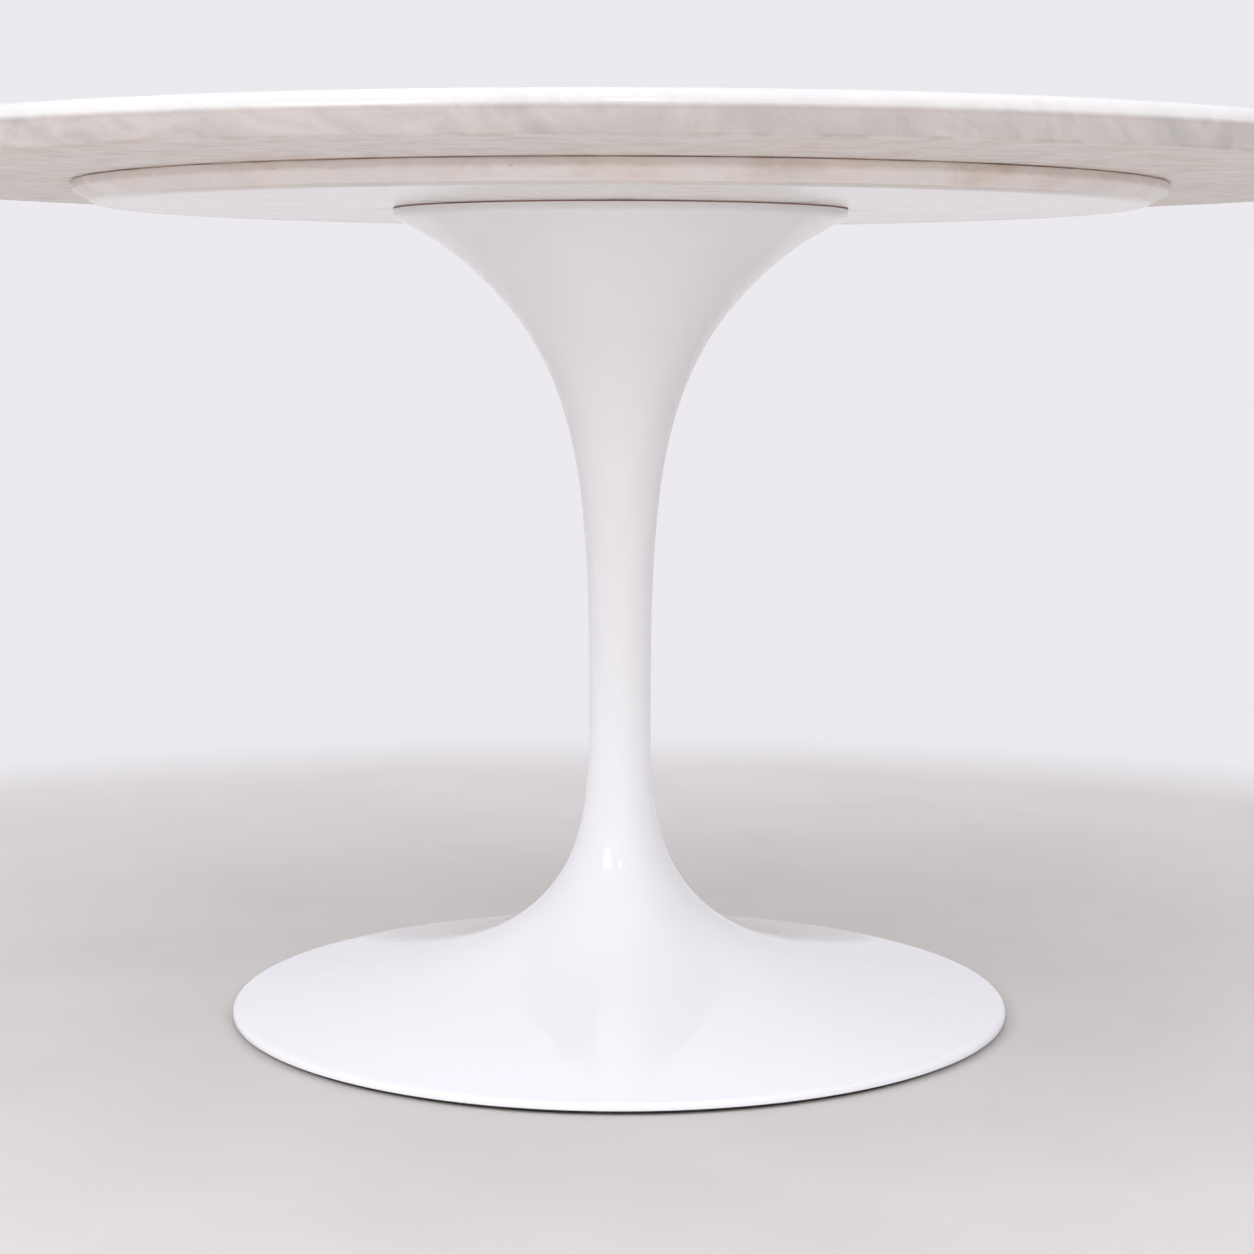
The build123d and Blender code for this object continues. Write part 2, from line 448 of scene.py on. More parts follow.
resin, tree, shader, position = new_material("brown resin", Roughness=0.55)
bubbles = add(tree, "ShaderNodeTexVoronoi", Vector=position, Scale=420.0)["Distance"]
color = tint(tree, rise(tree, grain(tree, position, 11.0), 0.36, 0.62), resin_dark, resin_pale)
feed(tree, shader["Base Color"], tint(tree, rise(tree, bubbles, 0.0, 0.16), bubble_brown, color))
feed(tree, shader["Normal"], bump(tree, rise(tree, bubbles, 0.0, 0.3), 0.0003))

bed_outline = [(0, resin_bottom), (resin_radius, resin_bottom), (resin_radius, resin_top), (0, resin_top)]
adhesive_bed = turn("adhesive_bed", bed_outline, resin, around=720)
adhesive_bed = rework(
    adhesive_bed, squeezed, Depth=resin_gap_depth, Inner_limit=resin_core, Material=resin
)
fit(adhesive_bed, "stone_adhesive", "slab_adhesive")


# ------------------------------------------------------------- marble backing disc
# A smaller disc of the same marble that spreads the clamping load. Its short upper
# band is stained by the resin, the wide bevel below is ground, and the flat is polished.
# Eight blind holes in the flat take the threaded inserts.

low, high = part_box("backing_slab")
disc_bottom, disc_top = low.z, high.z
band, bevel_width = 0.007, 0.019
bevel_angle = math.atan2(disc_top - disc_bottom - band, bevel_width)
edge_round, flat_round = 0.0025, 0.0215
edge_round_centre = disc_top - band + edge_round * math.tan(math.pi / 4 - bevel_angle / 2)
flat_radius = disc_radius - bevel_width - flat_round * math.tan(bevel_angle / 2)
insert_circle, insert_count = 0.145, 8
hole_radius, hole_depth = 0.006, 0.013
proud = 0.002

# Copies of one piece, set at equal steps on a circle around the axis.
ring_of, given, result = new_group(
    "set on a circle",
    "GeometryNodeTree",
    {"Piece": "Geometry", "Count": "Int", "Circle radius": "Float", "Material": "Material"},
    {"Pieces": "Geometry"},
)
circle = add(ring_of, "GeometryNodeMeshCircle", Vertices=given["Count"], Radius=given["Circle radius"])[0]
index = add(ring_of, "GeometryNodeInputIndex")[0]
angle = times(ring_of, calc(ring_of, "DIVIDE", index, given["Count"]), math.tau)
copies = add(
    ring_of,
    "GeometryNodeInstanceOnPoints",
    Points=circle,
    Instance=given["Piece"],
    Rotation=add(ring_of, "ShaderNodeCombineXYZ", 0.0, 0.0, angle)[0],
)[0]
end_geometry(ring_of, result, copies, given["Material"])


def cut(piece, tool):
    """Cuts a closed tool, which stands proud of the face, out of a piece, and removes it."""
    modifier = piece.modifiers.new("cut", "BOOLEAN")
    modifier.object = tool
    modifier.operation = "DIFFERENCE"
    depsgraph = bpy.context.evaluated_depsgraph_get()
    mesh = bpy.data.meshes.new_from_object(piece.evaluated_get(depsgraph))
    piece.modifiers.clear()
    piece.data = mesh
    bpy.data.objects.remove(tool)


# The disc's tones set its stone far lighter than the top's edge: painted light against the shade under the
# table.
ground_painted_light_tone, flat_painted_light_tone = (1.240, 1.215, 1.200), (1.080, 1.058, 1.025)
smear_brown, spot_brown, stain_brown = (0.580, 0.420, 0.300), (0.300, 0.190, 0.130), (0.400, 0.310, 0.250)
seam_brown, chip_brown = (0.30, 0.21, 0.15), (0.22, 0.16, 0.13)

disc_marble, tree, shader, position = new_material("ground marble", IOR=1.49)
height = height_of(tree, position)
across = from_axis(tree, position)
radius = vector(tree, "LENGTH", across)
polished = fall(tree, height, disc_bottom + 0.0024, disc_bottom + 0.0031)
other_block = vector(tree, "ADD", position, (3.1, 1.7, 0.4))
straw = between(tree, polished, 0.30, 0.08)
stone = use_group(tree, marble, Position=other_block, Straw=straw, Cloud=0.30)
# Lightened by painted light against the shade under the table.
color = tint(tree, 1.0, stone["Color"], tint(tree, polished, ground_painted_light_tone, flat_painted_light_tone), "MULTIPLY")

# Resin and rust have run down the bevel from the joint, in smears of uneven length.
down_slope = vector(tree, "SCALE", vector(tree, "NORMALIZE", across), Scale=disc_radius)
down_slope = vector(tree, "ADD", down_slope, vector(tree, "MULTIPLY", position, (0, 0, 2.2)))
smears = rise(tree, grain(tree, down_slope, 26.0, 5.0, 0.6), 0.46, 0.70)
smears = times(tree, smears, rise(tree, grain(tree, position, 7.0, 3.0), 0.36, 0.62))
below_band = rise(tree, height, disc_bottom + 0.002, disc_bottom + 0.005)
spots = add(tree, "ShaderNodeTexVoronoi", Vector=position, Scale=42.0)
few = calc(tree, "GREATER_THAN", add(tree, "ShaderNodeSeparateColor", spots["Color"])[0], 0.70)
spots = times(tree, fall(tree, spots["Distance"], 0.03, 0.07), few)

# The band is stained from the joint down to an uneven line.
reach = times(tree, rise(tree, grain(tree, down_slope, 70.0, 3.0), 0.52, 0.72), 0.0022)
stain_edge = calc(tree, "SUBTRACT", disc_top - 0.0046, reach)
stained = rise(tree, height, plus(tree, stain_edge, -0.0004), plus(tree, stain_edge, 0.0006))
strength = between(tree, rise(tree, grain(tree, position, 6.0, 3.0), 0.35, 0.65), 0.05, 0.22)
seam = rise(tree, height, disc_top - 0.0018, disc_top - 0.0004)
seam = times(tree, seam, rise(tree, grain(tree, position, 18.0), 0.40, 0.62))

# Fine chips have gone from the polished flat along its edge, on the back half only.
chips = fall(tree, add(tree, "ShaderNodeTexVoronoi", Vector=position, Scale=85.0)["Distance"], 0.10, 0.26)
at_edge = plus(tree, radius, times(tree, grain(tree, position, 6.0, 3.0), 0.22))
at_back = rise(tree, add(tree, "ShaderNodeSeparateXYZ", position)["Y"], -0.10, 0.05)
chips = times(tree, chips, rise(tree, at_edge, 0.475, 0.515), at_back)
color = layers(
    tree,
    color,
    (times(tree, smears, below_band, 0.38), smear_brown),
    (times(tree, spots, below_band, 0.55), spot_brown),
    (times(tree, stained, strength), stain_brown),
    (times(tree, seam, 0.22), seam_brown),
    (times(tree, chips, polished, 0.70), chip_brown),
)
feed(tree, shader["Base Color"], color)
dullness = plus(tree, between(tree, polished, 0.34, 0.12), times(tree, grain(tree, position, 70.0), 0.06))
feed(tree, shader["Roughness"], dullness)
relief = calc(tree, "SUBTRACT", times(tree, grain(tree, position, 50.0), 0.3), stone["Pit"])
feed(tree, shader["Normal"], bump(tree, relief, 0.00015))

bevel_end = math.degrees(bevel_angle) - 90
backing_disc = turn(
    "marble_backing_disc",
    [
        (0, disc_bottom),
        (disc_radius * 0.5, disc_bottom),
        *arc(flat_radius, disc_bottom + flat_round, flat_round, -90, bevel_end, 10),
        *arc(disc_radius - edge_round, edge_round_centre, edge_round, bevel_end, 0, 6),
        (disc_radius, disc_top),
        (disc_radius * 0.5, disc_top),
        (0, disc_top),
    ],
    disc_marble,
    around=360,
)
hole_low, hole_high = disc_bottom - proud, disc_bottom + hole_depth
hole_outline = [(0, hole_low), (hole_radius, hole_low), (hole_radius, hole_high), (0, hole_high)]
holes = turn("holes", hole_outline, disc_marble, around=40)
holes = rework(holes, ring_of, Count=insert_count, Circle_radius=insert_circle, Material=disc_marble)
cut(backing_disc, holes)
fit(backing_disc, "marble", "backing_slab")


# -------------------------------------------------------------- threaded inserts
# Eight brass bushes, turned from bar and knurled outside, bonded into the blind holes
# in the backing disc. The screws of the mounting plate run in them.

low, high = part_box("slab_inserts")
insert_bottom, insert_top = low.z, high.z
insert_radius, insert_bore, insert_bevel = 0.006, 0.004, 0.0004
groove_low, groove_high, groove_cut = 0.0048, 0.0064, 0.0006
knurl_teeth, knurl_depth, knurl_floor = 36, 0.00025, 0.0052
bright_brass, dull_brass = (0.68, 0.50, 0.24), (0.36, 0.25, 0.12)

# Straight knurling, pressed into the outside of a turned piece.
knurl, given, result = new_group(
    "knurled",
    "GeometryNodeTree",
    {"Piece": "Geometry", "Teeth": "Int", "Depth": "Float", "Inner limit": "Float", "Material": "Material"},
    {"Knurled piece": "Geometry"},
)
parts = add(knurl, "ShaderNodeSeparateXYZ", add(knurl, "GeometryNodeInputPosition")[0])
angle = calc(knurl, "ARCTAN2", parts["Y"], parts["X"])
wave = calc(knurl, "COSINE", times(knurl, angle, given["Teeth"]))
depth = times(knurl, between(knurl, wave, 0.5, 0.0), given["Depth"])
draw_in(knurl, result, given["Piece"], depth, given["Material"], given["Inner limit"])

brass, tree, shader, position = new_material("turned brass", Metallic=1.0)
tarnish = rise(tree, grain(tree, position, 160.0), 0.35, 0.7)
feed(tree, shader["Base Color"], tint(tree, tarnish, bright_brass, dull_brass))
feed(tree, shader["Roughness"], between(tree, tarnish, 0.25, 0.50))
feed(tree, shader["Normal"], bump(tree, grain(tree, position, 900.0), 0.00005))

bush_outline = [
    (insert_bore, insert_bottom),
    (insert_radius - insert_bevel, insert_bottom),
    (insert_radius, insert_bottom + insert_bevel),
    (insert_radius, insert_bottom + groove_low),
    (insert_radius - groove_cut, insert_bottom + groove_low + insert_bevel),
    (insert_radius - groove_cut, insert_bottom + groove_high - insert_bevel),
    (insert_radius, insert_bottom + groove_high),
    (insert_radius, insert_top - insert_bevel),
    (insert_radius - groove_cut, insert_top),
    (insert_bore, insert_top),
]
inserts = turn("threaded_inserts", bush_outline, brass, around=72, closed=True)
inserts = rework(
    inserts, knurl, Teeth=knurl_teeth, Depth=knurl_depth, Inner_limit=knurl_floor, Material=brass
)
inserts = rework(inserts, ring_of, Count=insert_count, Circle_radius=insert_circle, Material=brass)
fit(inserts, "insert_brass", "slab_inserts")


# ------------------------------------------------- mounting plate and its screws
# A turned steel plate under the backing disc, blackened, with a tapped boss for the
# tie rod. Eight countersunk screws with hexagon sockets hold it to the inserts.

low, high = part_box("plate_screws")
screw_bottom, screw_top = low.z, high.z
screw_radius, screw_head_radius, screw_tip = 0.004, 0.008, 0.001
screw_pitch, screw_thread_depth, screw_thread_start = 0.00125, 0.0007, 0.005
key_size, key_depth, key_point = 0.005, 0.0032, 0.0036
rows_per_turn = 8
black_dark, black_pale, rust_brown = (0.035, 0.035, 0.038), (0.075, 0.072, 0.070), (0.14, 0.07, 0.04)
zinc_blue, zinc_yellow, zinc_dull = (0.60, 0.61, 0.64), (0.66, 0.62, 0.52), (0.40, 0.40, 0.40)

# A screw thread, cut into a turned piece between two heights.
threaded, given, result = new_group(
    "threaded",
    "GeometryNodeTree",
    {
        "Piece": "Geometry",
        "Pitch": "Float",
        "Depth": "Float",
        "Thread bottom": "Float",
        "Thread top": "Float",
        "Material": "Material",
    },
    {"Threaded piece": "Geometry"},
)
parts = add(threaded, "ShaderNodeSeparateXYZ", add(threaded, "GeometryNodeInputPosition")[0])
turns_up = calc(threaded, "DIVIDE", parts["Z"], given["Pitch"])
turns_round = calc(threaded, "DIVIDE", calc(threaded, "ARCTAN2", parts["Y"], parts["X"]), math.tau)
phase = calc(threaded, "FRACT", calc(threaded, "SUBTRACT", turns_up, turns_round))
groove = calc(threaded, "ABSOLUTE", between(threaded, phase, -1.0, 1.0))
groove = add(threaded, "ShaderNodeMapRange", groove, 0.15, 0.85, 0.0, 1.0)[0]
above = calc(threaded, "GREATER_THAN", parts["Z"], given["Thread bottom"])
below = calc(threaded, "LESS_THAN", parts["Z"], given["Thread top"])
depth = times(threaded, groove, above, below, given["Depth"])
draw_in(threaded, result, given["Piece"], depth, given["Material"])

# Bright zinc over steel, for the fasteners: a faint yellow and blue bloom, dulled in
# patches, with fine marks from handling.
zinc, tree, shader, position = new_material("zinc-plated steel", Metallic=1.0)
bloom = rise(tree, grain(tree, position, 90.0), 0.35, 0.65)
dull = rise(tree, grain(tree, position, 240.0, 6.0), 0.45, 0.7)
color = layers(tree, zinc_blue, (bloom, zinc_yellow), (times(tree, dull, 0.6), zinc_dull))
feed(tree, shader["Base Color"], color)
feed(tree, shader["Roughness"], between(tree, dull, 0.28, 0.53))
feed(tree, shader["Normal"], bump(tree, grain(tree, position, 1200.0), 0.00004))

# Blackened steel, with fine rings from the turning tool and a little rust.
black_steel, tree, shader, position = new_material("blackened steel", Metallic=0.6)
radius = vector(tree, "LENGTH", from_axis(tree, position))
tool_marks = calc(tree, "SINE", times(tree, radius, math.tau / 0.0006))
rust = rise(tree, grain(tree, position, 35.0, 6.0, 0.65), 0.56, 0.72)
patchy = grain(tree, position, 120.0, 5.0)
color = layers(tree, black_dark, (patchy, black_pale), (times(tree, rust, 0.5), rust_brown))
feed(tree, shader["Base Color"], color)
feed(tree, shader["Roughness"], between(tree, patchy, 0.35, 0.65))
feed(tree, shader["Normal"], bump(tree, plus(tree, times(tree, tool_marks, 0.3), patchy), 0.00008))


def finish(node, material):
    """Gives a CAD node a finished material in every slot."""
    for slot in bpy.data.objects[node].material_slots:
        slot.material = material


finish("mounting_plate", black_steel)

head_height = screw_head_radius - screw_radius
first_row, last_row = screw_bottom + head_height + 0.0005, screw_top - screw_tip
thread_rows = np.arange(first_row, last_row, screw_pitch / rows_per_turn)
screw_outline = [
    (0, screw_bottom),
    (screw_head_radius * 0.5, screw_bottom),
    (screw_head_radius, screw_bottom),
    (screw_radius, screw_bottom + head_height),
    *[(screw_radius, height) for height in thread_rows],
    (screw_radius, screw_top - screw_tip),
    (screw_radius - screw_tip, screw_top),
    (0, screw_top),
]
screws = turn("countersunk_screws", screw_outline, zinc, around=32)
screws = rework(
    screws,
    threaded,
    Pitch=screw_pitch,
    Depth=screw_thread_depth,
    Thread_bottom=screw_bottom + screw_thread_start,
    Thread_top=screw_top - 0.0002,
    Material=zinc,
)
key_corner = key_size / 2 / math.cos(math.pi / 6)
key_outline = [(0, -proud), (key_corner, -proud), (key_corner, key_depth), (0, key_point)]
key_outline = [(radius, screw_bottom + height) for radius, height in key_outline]
cut(screws, turn("key", key_outline, zinc, around=6))
screws = rework(screws, ring_of, Count=insert_count, Circle_radius=insert_circle, Material=zinc)
fit(screws, "zinc_steel", "plate_screws")


# ------------------------------------------------------------------ flange gasket
# A ring of vulcanised fibre, 1 mm thick, cut from sheet. It keeps the coated flange
# off the marble, and shows only as a thin dark line.

low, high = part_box("flange_gasket")
gasket_radius, gasket_bottom, gasket_top = high.x + 0.0007, low.z, high.z
gasket_bore, cut_edge, pressed_edge = 0.1835, 0.0002, 0.0003
fibre_dark, fibre_pale, fibre_damp = (0.260, 0.120, 0.085), (0.380, 0.210, 0.160), (0.14, 0.08, 0.06)

fibre, tree, shader, position = new_material("vulcanised fibre")
flecks = grain(tree, position, 420.0, 5.0)
damp = rise(tree, grain(tree, position, 14.0), 0.4, 0.65)
color = layers(tree, fibre_dark, (flecks, fibre_pale), (times(tree, damp, 0.5), fibre_damp))
feed(tree, shader["Base Color"], color)
feed(tree, shader["Roughness"], between(tree, flecks, 0.6, 0.8))
feed(tree, shader["Normal"], bump(tree, flecks, 0.0001))

gasket_outline = [
    (gasket_bore, gasket_bottom),
    (gasket_radius - cut_edge, gasket_bottom),
    (gasket_radius, gasket_bottom + pressed_edge),
    (gasket_radius, gasket_top - cut_edge),
    (gasket_radius - cut_edge, gasket_top),
    (gasket_bore, gasket_top),
]
fibre_gasket = turn("fibre_gasket", gasket_outline, fibre, around=256, closed=True)
fit(fibre_gasket, "gasket_fibre", "flange_gasket")


# ---------------------------------------------------------------------- pedestal
# One thin aluminium casting, ground smooth and coated in thick glossy white. The
# outside sweeps from a flat foot through a slender waist to a wide flange; the inside
# is left as cast under a thin overspray, with four ribs and a web for the tie rod.

low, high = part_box("pedestal")
foot_radius, foot_underside, flange_top = high.x, low.z, high.z
flange_radius = 0.1927
rim_edge, rim_round, rim_slope = 0.001, 0.005, 8.7
lip_edge, lip_round, lip_slope = 0.0038, 0.005, 26
wall = 0.006
hollow_radius, groove_inner, groove_outer, groove_depth = 0.3105, 0.323, 0.329, 0.0025
seat_radius, seat_depth, flare_mouth = 0.183, 0.005, 0.162
web_bore, web_radius, web_bottom, web_top = 0.0085, 0.032, 0.150, 0.164
rib_count, rib_thickness, rib_inner, rib_outer = 4, 0.005, 0.044, 0.300

rim = arc(foot_radius - rim_round, foot_underside + rim_edge, rim_round, 0, 90 - rim_slope, 10)
lip = arc(flange_radius - lip_round, flange_top - lip_edge, lip_round, lip_slope - 90, 0, 10)
waist_line = [
    (0.2620, 0.0220),
    (0.2050, 0.0340),
    (0.1570, 0.0467),
    (0.1110, 0.0648),
    (0.0720, 0.0925),
    (0.0450, 0.1300),
    (0.0315, 0.1765),
    (0.0268, 0.2650),
    (0.0305, 0.4120),
    (0.0486, 0.5200),
    (0.0852, 0.5954),
    (0.1398, 0.6515),
]


def smooth_line(points, start, end, per_span):
    """A curve through the points, even in its bending, that leaves and arrives in set directions."""
    points = np.array(points)
    gaps = np.linalg.norm(np.diff(points, axis=0), axis=1)
    count = len(points)
    terms, totals = np.eye(count), np.zeros((count, 2))
    totals[0], totals[-1] = start, end
    for i in range(1, count - 1):
        before, after = gaps[i - 1], gaps[i]
        terms[i, i - 1 : i + 2] = 1 / before, 2 / before + 2 / after, 1 / after
        totals[i] = 3 * (points[i] - points[i - 1]) / before**2 + 3 * (points[i + 1] - points[i]) / after**2
    slopes = np.linalg.solve(terms, totals)
    line = []
    for i in range(count - 1):
        for t in np.arange(per_span) / per_span:
            line.append(
                (1 + 2 * t) * (1 - t) ** 2 * points[i]
                + t * (1 - t) ** 2 * gaps[i] * slopes[i]
                + t * t * (3 - 2 * t) * points[i + 1]
                + t * t * (t - 1) * gaps[i] * slopes[i + 1]
            )
    return np.array([*line, points[-1]])


def heading(degrees, pull):
    """The way a curve leaves or arrives: its slope, and its pull, negative towards the axis."""
    return (pull * math.cos(math.radians(degrees)), abs(pull) * math.sin(math.radians(degrees)))


trumpet = smooth_line([rim[-1], *waist_line, lip[0]], heading(rim_slope, -1.0), heading(lip_slope, 1.3), 11)
ahead = np.gradient(trumpet, axis=0)
ahead /= np.linalg.norm(ahead, axis=1)[:, None]
inside = trumpet + wall * np.column_stack([-ahead[:, 1], ahead[:, 0]])
past_mouth = (inside[:, 1] > 0.5) & (inside[:, 0] > flare_mouth)
inside = inside[(inside[:, 0] < hollow_radius) & ~past_mouth]

coat_white, coat_cloud, painted_bounce_tint = (0.864, 0.868, 0.908), (0.848, 0.847, 0.878), (1.010, 0.998, 0.945)
speck_brown, cast_dark, cast_pale = (0.30, 0.26, 0.24), (0.33, 0.33, 0.335), (0.52, 0.52, 0.53)

white_coating, tree, shader, position = new_material("white coating", IOR=1.43)
across = from_axis(tree, position)
outward = vector(tree, "NORMALIZE", across)
facing = vector(tree, "DOT_PRODUCT", outward, add(tree, "ShaderNodeNewGeometry")["Normal"])
as_cast = fall(tree, facing, -0.03, -0.01)
specks = add(tree, "ShaderNodeTexVoronoi", Vector=position, Scale=34.0)
few = calc(tree, "GREATER_THAN", add(tree, "ShaderNodeSeparateColor", specks["Color"])[0], 0.82)
specks = times(tree, fall(tree, specks["Distance"], 0.012, 0.028), few)
clouding = rise(tree, grain(tree, position, 3.0, 3.0), 0.35, 0.7)
color = tint(tree, times(tree, clouding, 0.35), coat_white, coat_cloud)
# Warmer towards the top of the flare: painted warm light bounced down from the marble.
painted_bounce = rise(tree, height_of(tree, position), 0.42, 0.66)
color = layers(
    tree,
    color,
    (painted_bounce, tint(tree, 1.0, color, painted_bounce_tint, "MULTIPLY")),
    (times(tree, specks, 0.7), speck_brown),
)
cast = rise(tree, grain(tree, position, 220.0, 5.0), 0.35, 0.7)
feed(tree, shader["Base Color"], tint(tree, as_cast, color, tint(tree, cast, cast_dark, cast_pale)))
gloss = between(tree, grain(tree, position, 14.0), 0.010, 0.035)
feed(tree, shader["Roughness"], plus(tree, gloss, times(tree, as_cast, 0.45)))

# The coat lies in a long wave with a faint peel, and in rings where the casting was ground.
ring_height = times(tree, vector(tree, "LENGTH", across), 9.0)
ring_space = add(tree, "ShaderNodeCombineXYZ", 0.0, 0.0, ring_height)[0]
ring_space = vector(tree, "ADD", vector(tree, "SCALE", outward, Scale=0.35), ring_space)
relief = plus(
    tree,
    grain(tree, position, 9.0, 2.0),
    times(tree, grain(tree, position, 150.0, 2.0), 0.035),
    times(tree, grain(tree, ring_space, 7.0, 2.0), 0.05),
    times(tree, cast, as_cast, 0.6),
)
feed(tree, shader["Normal"], bump(tree, relief, 0.0006))

shell = turn(
    "pedestal_shell",
    [
        (inside[0][0], foot_underside),
        (groove_inner, foot_underside),
        (groove_inner, foot_underside + groove_depth),
        (groove_outer, foot_underside + groove_depth),
        (groove_outer, foot_underside),
        (foot_radius, foot_underside),
        *rim,
        *trumpet[1:-1].tolist(),
        *lip,
        (flange_radius, flange_top),
        (seat_radius, flange_top),
        (seat_radius, flange_top - seat_depth),
        (flare_mouth, flange_top - seat_depth),
        *inside[::-2].tolist(),
    ],
    white_coating,
    around=288,
    closed=True,
)

# A rib is a flat blade: its lower edge hangs in one curve, and its upper edge is sunk
# in the casting's wall.
rib_curve = np.array([(rib_inner, 0.110), (0.060, 0.030), (0.150, 0.007), (rib_outer, 0.0112)])
rib_steps = 24
rib_outline = []
for step in range(rib_steps + 1):
    t = step / rib_steps
    weights = ((1 - t) ** 3, 3 * t * (1 - t) ** 2, 3 * t * t * (1 - t), t**3)
    rib_outline.append(tuple(weights @ rib_curve))
rib_outline += [(r, z + wall / 2) for r, z in inside if rib_inner < r < rib_outer and z < 0.2]
blade = bmesh.new()
near_side = [blade.verts.new((radius, -rib_thickness / 2, height)) for radius, height in rib_outline]
far_side = [blade.verts.new((radius, rib_thickness / 2, height)) for radius, height in rib_outline]
blade.faces.new(near_side)
blade.faces.new(far_side[::-1])
for i in range(len(rib_outline)):
    j = (i + 1) % len(rib_outline)
    blade.faces.new((near_side[j], near_side[i], far_side[i], far_side[j]))
bmesh.ops.recalc_face_normals(blade, faces=blade.faces)
rib = bpy.data.meshes.new("rib")
blade.to_mesh(rib)
blade.free()
ribs = grow("ribs", rib, ring_of, Count=rib_count, Circle_radius=0.0, Material=white_coating)

web_outline = [(web_bore, web_bottom), (web_radius, web_bottom), (web_radius, web_top), (web_bore, web_top)]
web = turn("web", web_outline, white_coating, around=96, closed=True)

# One casting, so its shell, ribs and web are one piece.
bpy.ops.object.select_all(action="DESELECT")
for part in (ribs, web, shell):
    part.select_set(True)
bpy.context.view_layer.objects.active = shell
bpy.ops.object.join()
shell.name = "pedestal_casting"
fit(shell, "white_coating", "pedestal")


# --------------------------------------------------------------------- foot ring
# A black rubber ring that the table stands on, pressed by its tongue into a groove in
# the rim. It lies a little inside the rim, so it shows as a thin dark line.

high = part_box("foot_ring")[1]
ring_outer, tongue_top = high.x, high.z
ring_inner, ring_height, ring_round = 0.319, foot_underside, 0.0009
tongue_inner, tongue_outer, tongue_bevel = 0.3232, 0.3288, 0.0006
tread_grooves, tread_slope, tread_depth = ((0.3222, 0.3238), (0.3256, 0.3272)), 0.0004, 0.0007
rubber_dark, rubber_pale, dust_grey = (0.012, 0.012, 0.013), (0.028, 0.027, 0.027), (0.22, 0.20, 0.18)

rubber, tree, shader, position = new_material("black rubber")
dust = rise(tree, grain(tree, position, 40.0, 6.0, 0.65), 0.45, 0.75)
pores = grain(tree, position, 700.0)
color = layers(tree, rubber_dark, (pores, rubber_pale), (times(tree, dust, 0.35), dust_grey))
feed(tree, shader["Base Color"], color)
feed(tree, shader["Roughness"], between(tree, dust, 0.55, 0.80))
feed(tree, shader["Normal"], bump(tree, pores, 0.0001))

tread = []
for inner, outer in tread_grooves:
    tread += [(inner, 0), (inner + tread_slope, tread_depth), (outer - tread_slope, tread_depth), (outer, 0)]
rubber_ring = turn(
    "rubber_foot_ring",
    [
        (ring_inner + ring_round, 0),
        *tread,
        *arc(ring_outer - ring_round, ring_round, ring_round, -90, 0, 5),
        (ring_outer, ring_height),
        (tongue_outer, ring_height),
        (tongue_outer, tongue_top - tongue_bevel),
        (tongue_outer - tongue_bevel, tongue_top),
        (tongue_inner + tongue_bevel, tongue_top),
        (tongue_inner, tongue_top - tongue_bevel),
        (tongue_inner, ring_height),
        (ring_inner, ring_height),
        *arc(ring_inner + ring_round, ring_round, ring_round, 180, 270, 5)[:-1],
    ],
    rubber,
    around=288,
    closed=True,
)
fit(rubber_ring, "black_rubber", "foot_ring")


# ----------------------------------------------------------- tie rod and hub nut
# A long steel rod down the hollow stem, threaded at both ends. It screws into the
# plate's boss, and below the web a washer, a spring washer and a nut pull it tight.

low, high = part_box("tie_rod")
rod_radius, rod_bottom, rod_top = high.x, low.z, high.z
low_thread_top, high_thread_bottom = rod_bottom + 0.055, rod_top - 0.034
rod_pitch, rod_thread_depth, rod_bevel = 0.002, 0.0011, 0.0015
run_out, thread_end = 0.004, 0.0002

rod_rows = [
    *np.arange(rod_bottom + rod_bevel, low_thread_top + run_out, rod_pitch / rows_per_turn),
    *np.arange(high_thread_bottom - run_out, rod_top - rod_bevel, rod_pitch / rows_per_turn),
]
rod_outline = [
    (0, rod_bottom),
    (rod_radius - rod_bevel, rod_bottom),
    *[(rod_radius, height) for height in rod_rows],
    (rod_radius, rod_top - rod_bevel),
    (rod_radius - rod_bevel, rod_top),
    (0, rod_top),
]
rod = turn("threaded_tie_rod", rod_outline, zinc, around=40)
for bottom, top in ((rod_bottom + thread_end, low_thread_top), (high_thread_bottom, rod_top - thread_end)):
    rod = rework(
        rod,
        threaded,
        Pitch=rod_pitch,
        Depth=rod_thread_depth,
        Thread_bottom=bottom,
        Thread_top=top,
        Material=zinc,
    )
fit(rod, "zinc_steel", "tie_rod")

for node in ("hub_washer", "lock_washer", "hub_nut"):
    finish(node, zinc)


# ------------------------------------------------------------------------ studio
# A pale floor that fades into a pale surround. Big soft lamps stand overhead, at both
# sides, behind and in front, with a weak one below the floor for the hollow of the foot.

floor_tone, worn_tone = (0.617, 0.589, 0.574), (0.642, 0.615, 0.602)
surround_tone, ambient_tone, ambient_level = (0.840, 0.820, 0.860), (0.93, 0.91, 0.90), 0.30
floor_radius, floor_opening, fade_start, fade_end = 12.0, 0.30, 1.20, 1.60


def seen_directly(tree):
    """1 for a ray that shows a thing itself, straight on, mirrored or through glass."""
    path = add(tree, "ShaderNodeLightPath")
    seen = calc(tree, "MAXIMUM", path["Is Camera Ray"], path["Is Glossy Ray"])
    return calc(tree, "MAXIMUM", seen, path["Is Transmission Ray"])


